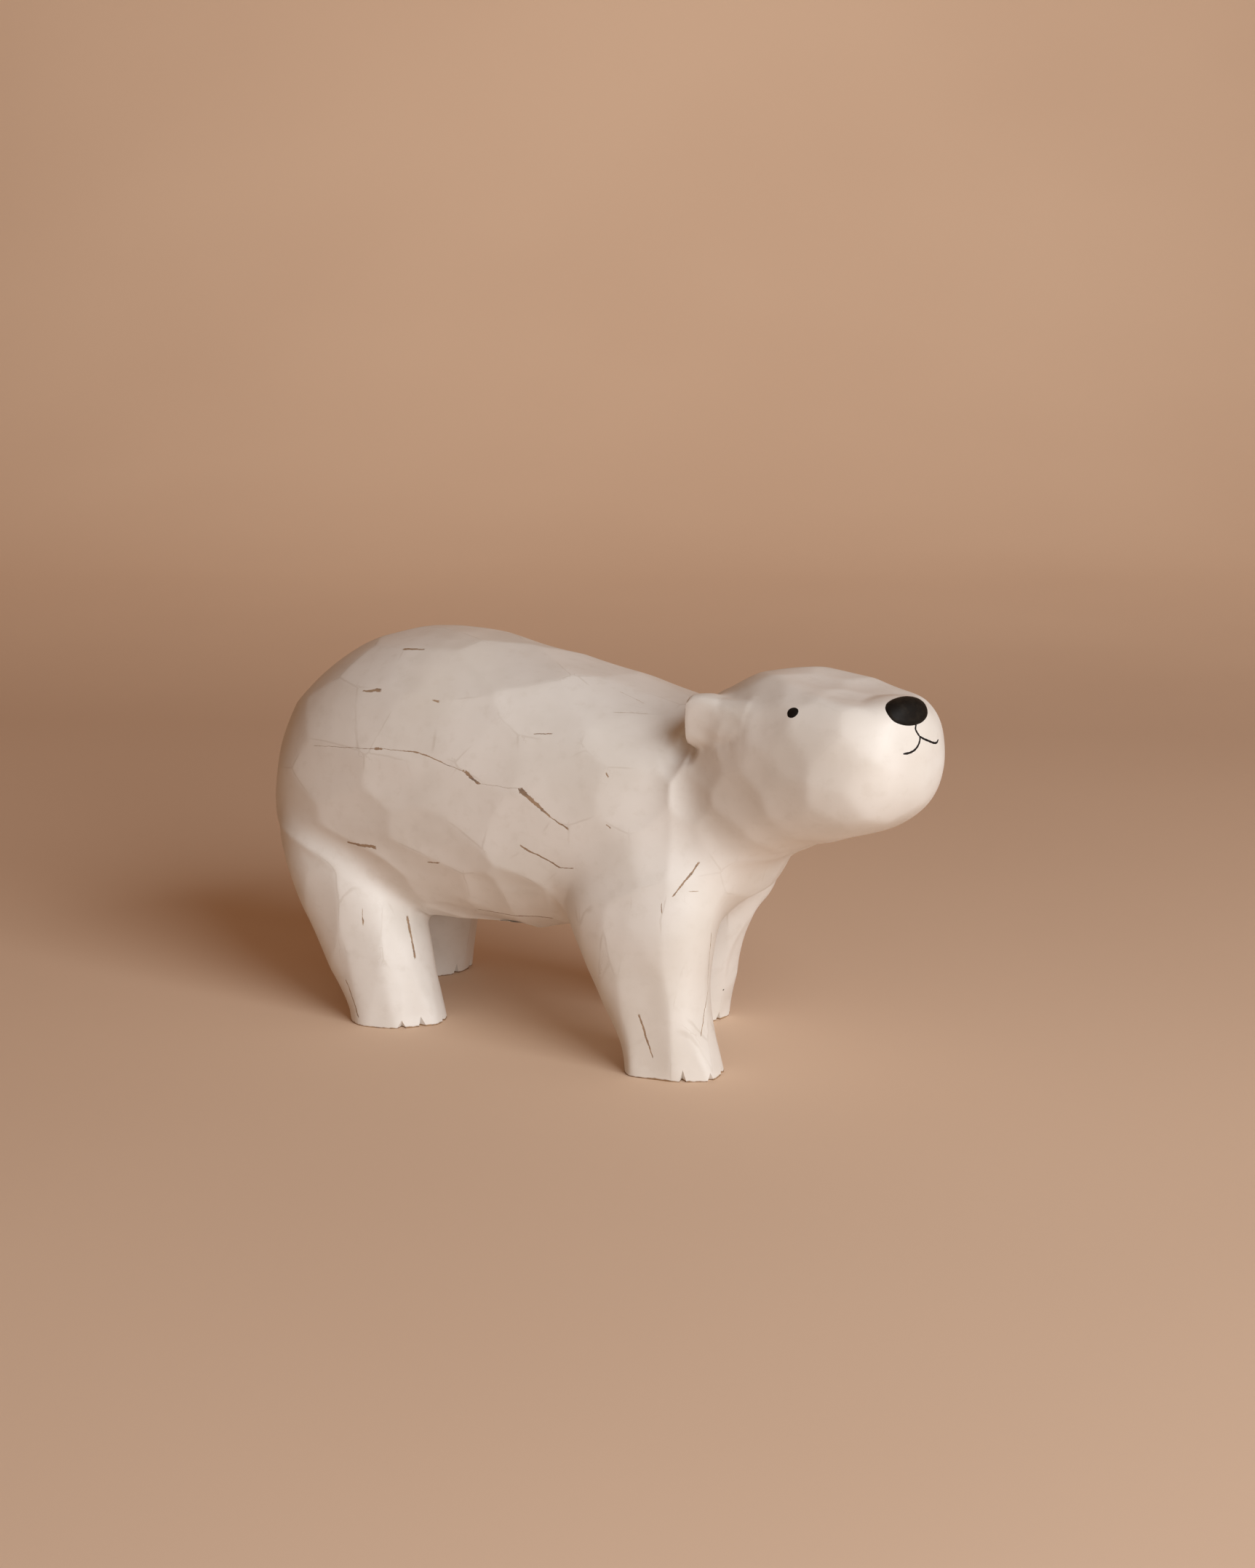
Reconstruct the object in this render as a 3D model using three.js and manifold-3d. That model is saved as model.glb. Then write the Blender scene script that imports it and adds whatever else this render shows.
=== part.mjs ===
// Polar bear figurine: carved wooden blocks, doweled and glued together, then painted white.
//
// Frame: millimetres, +X is the way the body faces, +Y its left, +Z up. The origin is on the ground under
// the middle of the whole figure. The body is described by stacks of rounded cross-sections, the way a
// carver marks them on a blank; the carved figure is then parted along its glue joints.

import * as THREE from "three";
import { mergeVertices } from "three/addons/utils/BufferGeometryUtils.js";
import Module from "manifold-3d";

const wasm = await Module();
wasm.setup();

// ---------------------------------------------------------------- driving dimensions, mm

const GLUE_GAP = 0.3; // left open all along every glue joint
const SPACE = 200; // reaches well past the figure in every direction

// The body block, section by section from the rump to the breast.
const TORSO = [
  { x: -86.5, top: 68, bottom: 64, wide: 0, round: 2 },
  { x: -85.5, top: 81, bottom: 50, wide: 15, round: 2 },
  { x: -81, top: 92, bottom: 36, wide: 26, round: 2.1 },
  { x: -71, top: 104, bottom: 30, wide: 34, round: 2.2 },
  { x: -54, top: 113, bottom: 29, wide: 38, round: 2.3 },
  { x: -30, top: 117, bottom: 29, wide: 39, round: 2.3 },
  { x: -2, top: 113, bottom: 30, wide: 38, round: 2.3 },
  { x: 26, top: 108, bottom: 34, wide: 36, round: 2.3 },
  { x: 50, top: 103, bottom: 39, wide: 33, round: 2.3 },
  { x: 66, top: 98, bottom: 46, wide: 27, round: 2.2 },
  { x: 77, top: 87, bottom: 53, wide: 19, round: 2.1 },
  { x: 81, top: 77, bottom: 67, wide: 0, round: 2 },
];

// The head is drawn in its own frame: x runs along the head from the nape, y to its left. It sits on the
// neck turned a little to the right.
const HEAD_TURN = THREE.MathUtils.degToRad(16);
const NAPE = new THREE.Vector3(60, 0, 0);
const HEAD = [
  { x: -16, top: 84, bottom: 80, wide: 0, round: 2 },
  { x: -13, top: 98, bottom: 62, wide: 17, round: 2.2 },
  { x: 0, top: 105, bottom: 54, wide: 23, round: 2.3 },
  { x: 10.8, top: 110.8, bottom: 55, wide: 25, round: 2.5 },
  { x: 21.3, top: 115.8, bottom: 60, wide: 26, round: 2.6 },
  { x: 34, top: 117.2, bottom: 66.5, wide: 26, round: 2.6 },
  { x: 46.5, top: 116.8, bottom: 71, wide: 24.8, round: 2.6 },
  { x: 58.5, top: 115.3, bottom: 75, wide: 22, round: 2.5 },
  { x: 67, top: 112.4, bottom: 80, wide: 17.5, round: 2.4 },
  { x: 72.2, top: 106, bottom: 87, wide: 11, round: 2.2 },
  { x: 73.7, top: 98.2, bottom: 94, wide: 0, round: 2 },
];

// A flap let into the side of the head, in the head's frame: y is the middle of its thickness.
const EAR = [
  { x: 10.7, z: 102.6, tall: 5.6, y: 23.2, wide: 3.2, round: 3 },
  { x: 11.5, z: 103, tall: 6.9, y: 22.9, wide: 4, round: 3.4 },
  { x: 15, z: 103.4, tall: 7.5, y: 22, wide: 4.6, round: 3.4 },
  { x: 20, z: 103.2, tall: 7.2, y: 21, wide: 4.7, round: 3.2 },
  { x: 25, z: 102.2, tall: 6, y: 20.3, wide: 4.8, round: 3 },
  { x: 27.5, z: 101.4, tall: 4.6, y: 20.2, wide: 4.8, round: 2.8 },
];
const EAR_ROOT = 16; // how far from the middle of the head the ear's flat inner face lies
const EAR_PEG = { x: 21, z: 103.5, radius: 1.7, from: 9, to: 21 };

// Each leg from hip to sole: z, middle and half length along x, middle and half width along y.
const FRONT_LEG = [
  { z: 88, x: 40, long: 8, y: 17, wide: 8, round: 2.2 },
  { z: 76, x: 41, long: 20, y: 18, wide: 13, round: 2.2 },
  { z: 60, x: 44.5, long: 26.5, y: 20, wide: 15.7, round: 2.3 },
  { z: 44, x: 44.5, long: 23.5, y: 23, wide: 15.5, round: 2.4 },
  { z: 25, x: 45, long: 16.8, y: 24.5, wide: 13.5, round: 2.5 },
  { z: 10, x: 47, long: 13.6, y: 25.5, wide: 12.3, round: 2.6 },
  { z: 0, x: 47.3, long: 13.8, y: 26, wide: 12.5, round: 2.6 },
];
const REAR_LEG = [
  { z: 84, x: -65, long: 8, y: 15, wide: 12, round: 2.2 },
  { z: 66, x: -62.5, long: 18.5, y: 18, wide: 16.5, round: 2.3 },
  { z: 46, x: -58.5, long: 20, y: 21, wide: 17.5, round: 2.4 },
  { z: 25, x: -53.2, long: 17.2, y: 23.3, wide: 15, round: 2.5 },
  { z: 10, x: -50, long: 14.6, y: 25, wide: 13, round: 2.6 },
  { z: 0, x: -48.5, long: 13.8, y: 25.5, wide: 12.8, round: 2.6 },
];
const STRIDE = 12.5; // the right feet stand this far ahead of their hips, the left feet this far behind
const STRIDE_BEND = 2.2; // how much of that happens low in the leg

// The rebates that take the legs: sawn square into the body block from outside and below.
const FRONT_SEAT = { from: 14, to: 73, inner: 7, top: 60 };
const REAR_SEAT = { from: -84, to: -29, inner: 7, top: 58 };
const UNDER_BELLY = 28; // below this there are only legs
const LEG_DOWEL = { radius: 4, reach: 15, y: 21 };
const DOWEL_END = 0.6; // a dowel hole is this much deeper than the dowel at each end

const TOE_ANGLES = [-54, -18, 18, 54].map(THREE.MathUtils.degToRad);
const TOE_NOTCH = { radius: 1.7, height: 4.5, below: 0.5 };

// The joint between neck and body, a plane leaning back, with one dowel above the other.
const NECK_JOINT = { x: 68, z: 81, lean: THREE.MathUtils.degToRad(26.6), turn: THREE.MathUtils.degToRad(5) };
const NECK_DOWEL = { radius: 4, reach: 15, spacing: 18 };

// A stub under the slope of the rump, glued to a flat sawn on it.
const TAIL = [
  { x: -93, top: 70, bottom: 66, wide: 2.5, round: 2.2 },
  { x: -91, top: 73, bottom: 63, wide: 4.8, round: 2.3 },
  { x: -86, top: 76.5, bottom: 61.5, wide: 6.2, round: 2.4 },
  { x: -80, top: 80, bottom: 61, wide: 6.6, round: 2.4 },
];
const TAIL_FLAT = -82;

// The nose pad stands a little proud of the muzzle, in the head's frame.
const NOSE = [
  { x: 61, top: 113.9, bottom: 105.8, wide: 7.8, round: 2.6 },
  { x: 69.3, top: 113.9, bottom: 105.8, wide: 7.8, round: 2.6 },
  { x: 70.7, top: 112.4, bottom: 107, wide: 6.4, round: 2.4 },
];

// Round plugs drilled square to the slope of the cheek, flush with it, in the head's frame.
const EYE = { x: 46.1, y: 20.5, z: 109.5, slope: THREE.MathUtils.degToRad(39), radius: 1.55, deep: 2.5 };

// A drawn line let into the muzzle, in the head's frame: from under the nose down to the lip, and from
// there a curl to either side. Pairs are y to one side and z.
const LIP = [0, 104.1];
const MOUTH_DROP = [[0, 105.3], [0, 104.7], LIP];
const MOUTH_CURL = [LIP, [1.6, 102.4], [4.4, 101.1], [7, 101.9]];
const MOUTH_LINE = { width: 0.6, depth: 0.8, from: 50, to: 90 };

// ---------------------------------------------------------------- shape helpers

// Catmull-Rom interpolation of every number in a list of sections, t from 0 to 1.
function sectionsAlong(sections) {
  const tracks = {};
  for (const key of Object.keys(sections[0])) {
    tracks[key] = new THREE.SplineCurve(sections.map((s, i) => new THREE.Vector2(i, s[key])));
  }
  return (t) => {
    const s = {};
    for (const key of Object.keys(tracks)) s[key] = tracks[key].getPoint(t).y;
    return s;
  };
}

// The point of a rounded square of exponent n at an angle, with half sizes a and b.
function roundedPoint(angle, a, b, n) {
  const c = Math.cos(angle);
  const s = Math.sin(angle);
  return [
    a * Math.sign(c) * Math.abs(c) ** (2 / n),
    b * Math.sign(s) * Math.abs(s) ** (2 / n),
  ];
}

// A closed skin over rings of points. Each ring is a list of Vector3 in the same turning sense.
function skin(rings) {
  const around = rings[0].length;
  const positions = rings.flat().flatMap((p) => [p.x, p.y, p.z]);
  const index = [];
  for (let r = 0; r + 1 < rings.length; r += 1) {
    for (let i = 0; i < around; i += 1) {
      const j = (i + 1) % around;
      const [a, b, c, d] = [r * around + i, r * around + j, (r + 1) * around + j, (r + 1) * around + i];
      index.push(a, b, c, a, c, d);
    }
  }
  const middle = (ring) => ring.reduce((sum, p) => sum.add(p), new THREE.Vector3()).divideScalar(around);
  [0, rings.length - 1].forEach((r, end) => {
    const m = middle(rings[r]);
    const centre = positions.length / 3;
    positions.push(m.x, m.y, m.z);
    for (let i = 0; i < around; i += 1) {
      const j = (i + 1) % around;
      if (end) index.push(centre, r * around + i, r * around + j);
      else index.push(centre, r * around + j, r * around + i);
    }
  });
  const g = new THREE.BufferGeometry();
  g.setAttribute("position", new THREE.Float32BufferAttribute(positions, 3));
  g.setIndex(index);
  return g;
}

// Rings across the X axis. A section gives top and bottom, or its middle z and half height, and may stand
// to one side of the middle plane: side 1 is left, -1 is right. Grow makes the block bigger all round.
function blockAlongX(sections, rings, around, { side = 1, grow = 0 } = {}) {
  const at = sectionsAlong(sections);
  return skin(
    Array.from({ length: rings + 1 }, (_, r) => {
      const s = at(r / rings);
      const z = s.z ?? (s.top + s.bottom) / 2;
      const tall = (s.tall ?? (s.top - s.bottom) / 2) + grow;
      const x = s.x + grow * Math.sign(2 * r - rings);
      return Array.from({ length: around }, (_unused, i) => {
        const [dy, dz] = roundedPoint((i / around) * 2 * Math.PI, s.wide + grow, tall, s.round);
        return new THREE.Vector3(x, side * (s.y ?? 0) + dy, z + dz);
      });
    }),
  );
}

// Rings across the Z axis, with the foot carried forward of the hip.
function legBlock(sections, side, forward, rings = 14, around = 24) {
  const at = sectionsAlong(sections);
  const hip = sections[0].z;
  return skin(
    Array.from({ length: rings + 1 }, (_, r) => {
      const s = at(r / rings);
      const x = s.x + forward * Math.max(0, 1 - s.z / hip) ** STRIDE_BEND;
      return Array.from({ length: around }, (_unused, i) => {
        const [dx, dy] = roundedPoint(-(i / around) * 2 * Math.PI, s.long, s.wide, s.round);
        return new THREE.Vector3(x + dx, side * s.y + dy, s.z);
      });
    }),
  );
}

const span = (a, b) => [Math.min(a, b), Math.max(a, b)];

function box(x0, x1, y0, y1, z0, z1) {
  const g = new THREE.BoxGeometry(x1 - x0, y1 - y0, z1 - z0);
  return g.translate((x0 + x1) / 2, (y0 + y1) / 2, (z0 + z1) / 2);
}

// A round bar from one point to another.
function bar(from, to, radius, around = 20) {
  const along = to.clone().sub(from);
  const upright = new THREE.Vector3(0, 1, 0);
  const turn = new THREE.Quaternion().setFromUnitVectors(upright, along.clone().normalize());
  const g = new THREE.CylinderGeometry(radius, radius, along.length(), around);
  return g.applyQuaternion(turn).translate(...from.clone().lerp(to, 0.5).toArray());
}

// A stripe of even width along a drawn line of [y, z] points, carried along the X axis.
function stripe(points, width, from, to) {
  const curve = new THREE.SplineCurve(points.map(([y, z]) => new THREE.Vector2(y, z)));
  const steps = 8;
  const edge = (t, away) => {
    const along = curve.getTangent(t);
    return curve.getPoint(t).add(new THREE.Vector2(-along.y, along.x).multiplyScalar(away * (width / 2)));
  };
  const ts = Array.from({ length: steps + 1 }, (_, i) => i / steps);
  const outline = [...ts.map((t) => edge(t, -1)), ...ts.reverse().map((t) => edge(t, 1))];
  const g = new THREE.ExtrudeGeometry(new THREE.Shape(outline), { depth: to - from, bevelEnabled: false });
  const [x, y, z] = [new THREE.Vector3(1, 0, 0), new THREE.Vector3(0, 1, 0), new THREE.Vector3(0, 0, 1)];
  return g.applyMatrix4(new THREE.Matrix4().makeBasis(y, z, x)).translate(from, 0, 0);
}

const headPose = new THREE.Matrix4().makeRotationZ(-HEAD_TURN).setPosition(NAPE);
const onHead = (geometry) => geometry.applyMatrix4(headPose);

// ---------------------------------------------------------------- solids

function solid(geometry) {
  const g = geometry.clone();
  g.deleteAttribute("normal");
  g.deleteAttribute("uv");
  const merged = mergeVertices(g, 1e-4);
  return new wasm.Manifold(
    new wasm.Mesh({
      numProp: 3,
      vertProperties: merged.attributes.position.array,
      triVerts: new Uint32Array(merged.index.array),
    }),
  );
}

const joined = (geometries) => geometries.map(solid).reduce((sum, s) => sum.add(s));
const common = (body, geometry) => body.intersect(solid(geometry));
const cut = (body, geometries) => geometries.map(solid).reduce((rest, s) => rest.subtract(s), body);

const group = new THREE.Group();

function put(name, made, material) {
  const m = made.getMesh();
  const g = new THREE.BufferGeometry();
  g.setAttribute("position", new THREE.Float32BufferAttribute(m.vertProperties, 3));
  g.setIndex(new THREE.BufferAttribute(m.triVerts, 1));
  g.computeVertexNormals();
  const mesh = new THREE.Mesh(g, material);
  mesh.name = name;
  group.add(mesh);
}

const whitePaint = new THREE.MeshStandardMaterial({ color: 0xe9e3da, roughness: 0.5, metalness: 0 });
const blackPaint = new THREE.MeshStandardMaterial({ color: 0x1d1813, roughness: 0.4, metalness: 0 });
const bareWood = new THREE.MeshStandardMaterial({ color: 0xb98f62, roughness: 0.75, metalness: 0 });

const SIDES = [
  { name: "right", side: -1, forward: STRIDE },
  { name: "left", side: 1, forward: -STRIDE },
];
const LEGS = SIDES.flatMap((s) => [
  { ...s, name: `front_${s.name}`, sections: FRONT_LEG, seat: FRONT_SEAT },
  { ...s, name: `rear_${s.name}`, sections: REAR_LEG, seat: REAR_SEAT },
]);

// ---------------------------------------------------------------- the carved figure, not yet parted

const figure = joined([
  blockAlongX(TORSO, 30, 32),
  onHead(blockAlongX(HEAD, 26, 30)),
  ...LEGS.map((leg) => legBlock(leg.sections, leg.side, leg.forward)),
]);

// ---------------------------------------------------------------- neck joint

const { x: neckX, z: neckZ, lean, turn } = NECK_JOINT;
const onNeck = (geometry) => geometry.rotateY(-lean).rotateZ(-turn).translate(neckX, 0, neckZ);
const aheadOfNeck = (from) => onNeck(box(from, SPACE, -SPACE, SPACE, -SPACE, SPACE));

function neckDowel(height, spare) {
  const { radius, reach } = NECK_DOWEL;
  const end = new THREE.Vector3(reach + (spare ? DOWEL_END : 0), 0, height);
  return onNeck(bar(end.clone().setX(-end.x), end, radius + spare));
}

const neckHeights = [NECK_DOWEL.spacing / 2, -NECK_DOWEL.spacing / 2];
const neckHoles = neckHeights.map((h) => neckDowel(h, GLUE_GAP));
["upper", "lower"].forEach((name, i) => {
  put(`neck_dowel_${name}`, solid(neckDowel(neckHeights[i], 0)), bareWood);
});

// ---------------------------------------------------------------- legs

// All that belongs to a leg: the rebate it is let into and its own quarter under the belly. Grow opens
// the rebate on its glued faces.
function legRoom({ seat, side }, grow) {
  const [y0, y1] = span(side * (seat.inner - grow), side * SPACE);
  const [x0, x1] = span(0, Math.sign(seat.from) * SPACE);
  return joined([
    box(seat.from - grow, seat.to + grow, y0, y1, 0, seat.top + grow),
    box(x0, x1, ...span(0, side * SPACE), -SPACE, UNDER_BELLY),
  ]);
}

function legDowel({ seat, side }, spare) {
  const { radius, reach, y } = LEG_DOWEL;
  const half = reach + (spare ? DOWEL_END : 0);
  const x = (seat.from + seat.to) / 2;
  const [low, high] = [-half, half].map((dz) => new THREE.Vector3(x, side * y, seat.top + dz));
  return bar(low, high, radius + spare);
}

// Small cuts up the front edge of the sole that part the toes.
function toeNotches({ sections, side, forward }) {
  const sole = sections.at(-1);
  return TOE_ANGLES.map((angle) => {
    const [dx, dy] = roundedPoint(angle, sole.long, sole.wide, sole.round);
    const g = new THREE.ConeGeometry(TOE_NOTCH.radius, TOE_NOTCH.height, 8).rotateX(Math.PI / 2);
    return g.translate(sole.x + forward + dx, side * sole.y + dy, TOE_NOTCH.height / 2 - TOE_NOTCH.below);
  });
}

const behindNeck = cut(figure, [aheadOfNeck(-GLUE_GAP / 2)]);
for (const leg of LEGS) {
  const block = behindNeck.intersect(legRoom(leg, 0));
  put(`leg_${leg.name}`, cut(block, [legDowel(leg, GLUE_GAP), ...toeNotches(leg)]), whitePaint);
  put(`leg_dowel_${leg.name}`, solid(legDowel(leg, 0)), bareWood);
}

// ---------------------------------------------------------------- tail and torso

const behindFlat = (x) => box(-SPACE, x, -SPACE, SPACE, -SPACE, SPACE);
const tailBlock = (grow) => solid(blockAlongX(TAIL, 6, 20, { grow }));

put("tail", common(tailBlock(0), behindFlat(TAIL_FLAT)), whitePaint);
const torso = cut(behindNeck, [...neckHoles, ...LEGS.map((leg) => legDowel(leg, GLUE_GAP))]);
const tailSeat = common(tailBlock(GLUE_GAP), behindFlat(TAIL_FLAT + GLUE_GAP));
const seats = LEGS.map((leg) => legRoom(leg, GLUE_GAP));
put("torso", [...seats, tailSeat].reduce((rest, s) => rest.subtract(s), torso), whitePaint);

// ---------------------------------------------------------------- head, ears and face

const besideHead = (side, y) => {
  return onHead(box(-SPACE, SPACE, ...span(side * y, side * SPACE), -SPACE, SPACE));
};
const headBlock = (back) => solid(onHead(blockAlongX(HEAD, 26, 30).translate(-back, 0, 0)));

const earBlock = (side, grow) => {
  const block = solid(onHead(blockAlongX(EAR, 12, 20, { side, grow })));
  return common(block, besideHead(side, EAR_ROOT - grow));
};

function earPeg(side, spare) {
  const { x, z, radius, from, to } = EAR_PEG;
  const end = spare ? DOWEL_END : 0;
  const [inner, outer] = [from - end, to + end].map((y) => new THREE.Vector3(x, side * y, z));
  return onHead(bar(inner, outer, radius + spare));
}

function eyeBar(side, spare) {
  const { x, y, z, slope, radius, deep } = EYE;
  const out = new THREE.Vector3(0, side * Math.cos(slope), Math.sin(slope));
  const skinPoint = new THREE.Vector3(x, side * y, z);
  const bottom = skinPoint.clone().addScaledVector(out, -deep - spare);
  return onHead(bar(bottom, skinPoint.addScaledVector(out, deep), radius + spare));
}

// The drawn line down to a depth under the skin of the muzzle.
function mouthLine(spare) {
  const { width, depth, from, to } = MOUTH_LINE;
  const strokes = [MOUTH_DROP, MOUTH_CURL, MOUTH_CURL.map(([y, z]) => [-y, z])];
  const drawn = joined(strokes.map((points) => onHead(stripe(points, width + 2 * spare, from, to))));
  return drawn.subtract(headBlock(depth + spare));
}

let head = common(figure, aheadOfNeck(GLUE_GAP / 2));
head = cut(head, [...neckHoles, onHead(blockAlongX(NOSE, 6, 24, { grow: GLUE_GAP }))]);
for (const { name, side } of SIDES) {
  put(`ear_${name}`, cut(earBlock(side, 0), [earPeg(side, GLUE_GAP)]), whitePaint);
  put(`ear_peg_${name}`, solid(earPeg(side, 0)), bareWood);
  put(`eye_${name}`, headBlock(0).intersect(solid(eyeBar(side, 0))), blackPaint);
  head = cut(head.subtract(earBlock(side, GLUE_GAP)), [earPeg(side, GLUE_GAP), eyeBar(side, GLUE_GAP)]);
}
put("mouth_line", headBlock(0).intersect(mouthLine(0)), blackPaint);
put("nose", solid(onHead(blockAlongX(NOSE, 6, 24))), blackPaint);
put("head", head.subtract(mouthLine(GLUE_GAP)), whitePaint);

// ---------------------------------------------------------------- ground and middle

const bounds = new THREE.Box3().setFromObject(group);
const middle = bounds.getCenter(new THREE.Vector3());
group.position.set(-middle.x, -middle.y, -bounds.min.z);
group.updateMatrixWorld(true);

export default group;
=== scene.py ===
"""Looks of the carved bear: one figure knife-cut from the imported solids, parted again at its glue joints,
painted chalky white over brown wood, with a black nose, dot eyes and a drawn mouth.

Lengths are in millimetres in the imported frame: +X is the way the bear faces, +Y its left, Z up.
"""

import math

import bmesh
import bpy
import numpy as np
from mathutils import Matrix, Vector
from mathutils.bvhtree import BVHTree


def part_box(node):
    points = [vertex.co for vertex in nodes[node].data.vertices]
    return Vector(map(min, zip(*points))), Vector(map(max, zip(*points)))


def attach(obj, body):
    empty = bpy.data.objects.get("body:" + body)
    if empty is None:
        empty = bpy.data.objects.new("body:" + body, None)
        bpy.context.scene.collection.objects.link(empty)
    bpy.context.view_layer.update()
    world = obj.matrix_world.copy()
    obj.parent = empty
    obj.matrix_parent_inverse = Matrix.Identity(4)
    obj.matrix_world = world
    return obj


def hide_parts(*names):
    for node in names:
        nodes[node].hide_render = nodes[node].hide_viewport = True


MM = 0.001
rng = np.random.default_rng(41)

# ---------------------------------------------------------------- sizes

GRID = 0.8  # spacing of the carved skin's mesh
SWELL = 0.25  # each solid grows by this, so that the glue gaps close before the figure is cut
SOLE_SPARE = 6.0  # the feet are cut level through this much spare wood

NECK = {"x": 48.3, "z": 81.0, "lean": 26.6, "turn": 5.0}  # the plane where the head is glued on, in degrees
LEG_ROOMS = {  # rebate x0, x1, top; every leg reaches in to `inner` from the middle plane
    "leg_front": (-5.7, 53.3, 60.0),
    "leg_rear": (-103.7, -48.7, 58.0),
}
LEG_INNER = 7.0
UNDER_BELLY = 28.0
MIDDLE_X = -19.7  # between the front and the rear legs
TAIL_FLAT = -101.7  # where the tail is glued on
HEAD_TURN = 16.0  # degrees to the bear's right, about an upright line at NAPE_X
NAPE_X = 40.3
EAR_ROOT = 16.0  # how far from the head's middle an ear reaches in
FAR = 300.0  # well outside the bear

# Knife cuts: how far apart their middles are, how hollow they are (a smaller radius cuts a sharper ridge),
# how far the paint rounds the ridges between them, and how much their depths differ
CUTS = {
    "body": {"apart": 17.0, "hollow": 95.0, "round": 0.07, "spread": 0.2},
    "head": {"apart": 11.0, "hollow": 62.0, "round": 0.13, "spread": 0.3},
    "leg": {"apart": 12.0, "hollow": 46.0, "round": 0.035, "spread": 0.2},
    "ear": {"apart": 9.0, "hollow": 70.0, "round": 0.05, "spread": 0.1},
}

# Worn lines on the right side, as they run over the skin: (from, to, width at each end)
WORN = [
    ((-57.1, -18.7, 112.6), (-49.6, -18.2, 113.2), 0.9, 0.5),
    ((-63.6, -30.7, 101.5), (-56.7, -30.8, 102.4), 0.4, 1.1),
    ((-38.2, -31.1, 101.2), (-36.0, -31.0, 101.0), 0.5, 0.7),
    ((-78.3, -35.6, 84.3), (-54.6, -37.7, 86.2), 0.12, 0.2),
    ((-54.6, -37.7, 86.2), (-51.4, -37.6, 86.5), 1.0, 0.5),
    ((-51.7, -37.6, 86.5), (-39.1, -37.3, 86.7), 0.12, 0.45),
    ((-39.1, -37.3, 86.7), (-24.1, -37.2, 82.8), 0.4, 0.15),
    ((-23.6, -37.2, 82.9), (-18.6, -37.3, 79.8), 1.1, 0.8),
    ((-18.6, -37.3, 79.8), (-5.4, -36.4, 79.6), 0.1, 0.12),
    ((-5.4, -36.4, 79.6), (4.6, -36.1, 72.5), 1.5, 0.6),
    ((4.6, -36.1, 72.5), (10.2, -35.5, 69.5), 0.25, 0.6),
    ((-5.3, -36.4, 63.0), (7.0, -34.2, 57.7), 0.6, 0.5),
    ((7.0, -34.2, 57.7), (11.3, -34.2, 58.2), 0.25, 0.3),
    ((-65.8, -36.8, 56.5), (-55.2, -36.9, 56.3), 0.6, 1.1),
    ((-37.8, -36.2, 53.7), (-33.5, -36.2, 54.3), 0.35, 0.5),
    ((-27.9, -25.2, 37.8), (-3.1, -22.4, 38.5), 0.4, 0.5),
    ((-51.6, -25.6, 33.0), (-48.9, -27.1, 20.4), 0.9, 0.7),
    ((-61.2, -36.6, 36.6), (-60.9, -37.1, 31.6), 0.2, 0.45),
    ((-67.5, -37.6, 13.7), (-62.8, -37.5, 2.5), 0.35, 0.45),
    ((34.1, -37.8, 19.0), (38.2, -38.0, 6.6), 0.6, 0.45),
    ((40.6, -35.7, 52.0), (40.8, -36.1, 49.4), 0.25, 0.35),
    ((50.6, -23.9, 42.2), (48.0, -21.2, 24.4), 0.3, 0.2),
    ((48.0, -21.2, 24.4), (49.6, -28.4, 12.7), 0.2, 0.35),
    ((48.0, -27.5, 63.0), (43.4, -34.1, 54.1), 0.55, 0.5),
    ((47.3, -31.5, 55.5), (49.4, -29.8, 55.3), 0.2, 0.2),
    ((-3.9, -31.0, 94.9), (1.7, -29.9, 95.2), 0.25, 0.35),
    ((20.6, -31.8, 86.5), (21.5, -32.1, 85.3), 0.4, 0.5),
    ((21.8, -34.2, 72.2), (23.2, -34.1, 71.1), 0.3, 0.5),
    ((15.9, -19.9, 101.5), (25.2, -16.6, 101.0), 0.15, 0.12),
    ((12.8, -10.8, 105.5), (21.7, -12.5, 103.3), 0.12, 0.12),
    ((43.3, -28.2, 107.2), (42.6, -28.6, 101.5), 0.5, 0.9),
    ((42.6, -28.6, 101.5), (43.9, -29.0, 98.3), 0.9, 0.7),
]
# Ridges that carry no wear
RIDGES = [
    ((-57.6, -31.3, 43.3), (-54.8, -33.9, 28.9)),
    ((-54.8, -33.9, 28.9), (-50.2, -34.6, 14.0)),
    ((-50.2, -34.6, 14.0), (-46.8, -34.4, 5.6)),
    ((9.7, -34.0, 54.5), (21.0, -38.1, 43.4)),
    ((21.0, -38.1, 43.4), (29.7, -37.9, 25.7)),
    ((29.7, -37.9, 25.7), (31.6, -37.1, 5.2)),
    ((50.0, -23.5, 38.2), (48.2, -22.4, 20.4)),
    ((48.2, -22.4, 20.4), (52.4, -28.7, 3.5)),
]
WORN_REACH = 4.0  # a worn line's own coordinates are kept this far from it

NOSE = {  # in the head's own frame: middle, the way it faces, and half its outline from the top to the bottom
    "centre": (69.3, -0.6, 110.8),
    "faces": (0.8, 0.0, 0.6),
    "outline": [
        (0, 4.6), (2.6, 4.4), (5.1, 3.7), (6.8, 2.3), (7.4, 0.3), (6.9, -1.8), (5.3, -3.2), (2.9, -4.1), (0, -4.4),
    ],
}
EAR_POCKET = {"centre": (8.0, 24.0, 99.0), "size": (8.0, 8.0, 11.0), "deep": 2.6}  # behind and under each ear
EAR_BRIDGE = {  # wood left standing from each ear forward to the cheek: along the head, (height, half width)
    11.3: ((96.6, 25.6), (103.0, 26.7), (107.2, 26.3), (109.6, 24.2)),
    20.0: ((96.4, 25.3), (103.5, 25.9), (108.5, 25.0), (110.5, 22.6)),
    43.0: ((97.0, 24.6), (104.0, 23.5), (109.0, 20.9), (111.5, 18.8)),
}
BRIDGE_INNER = 12.0
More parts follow.
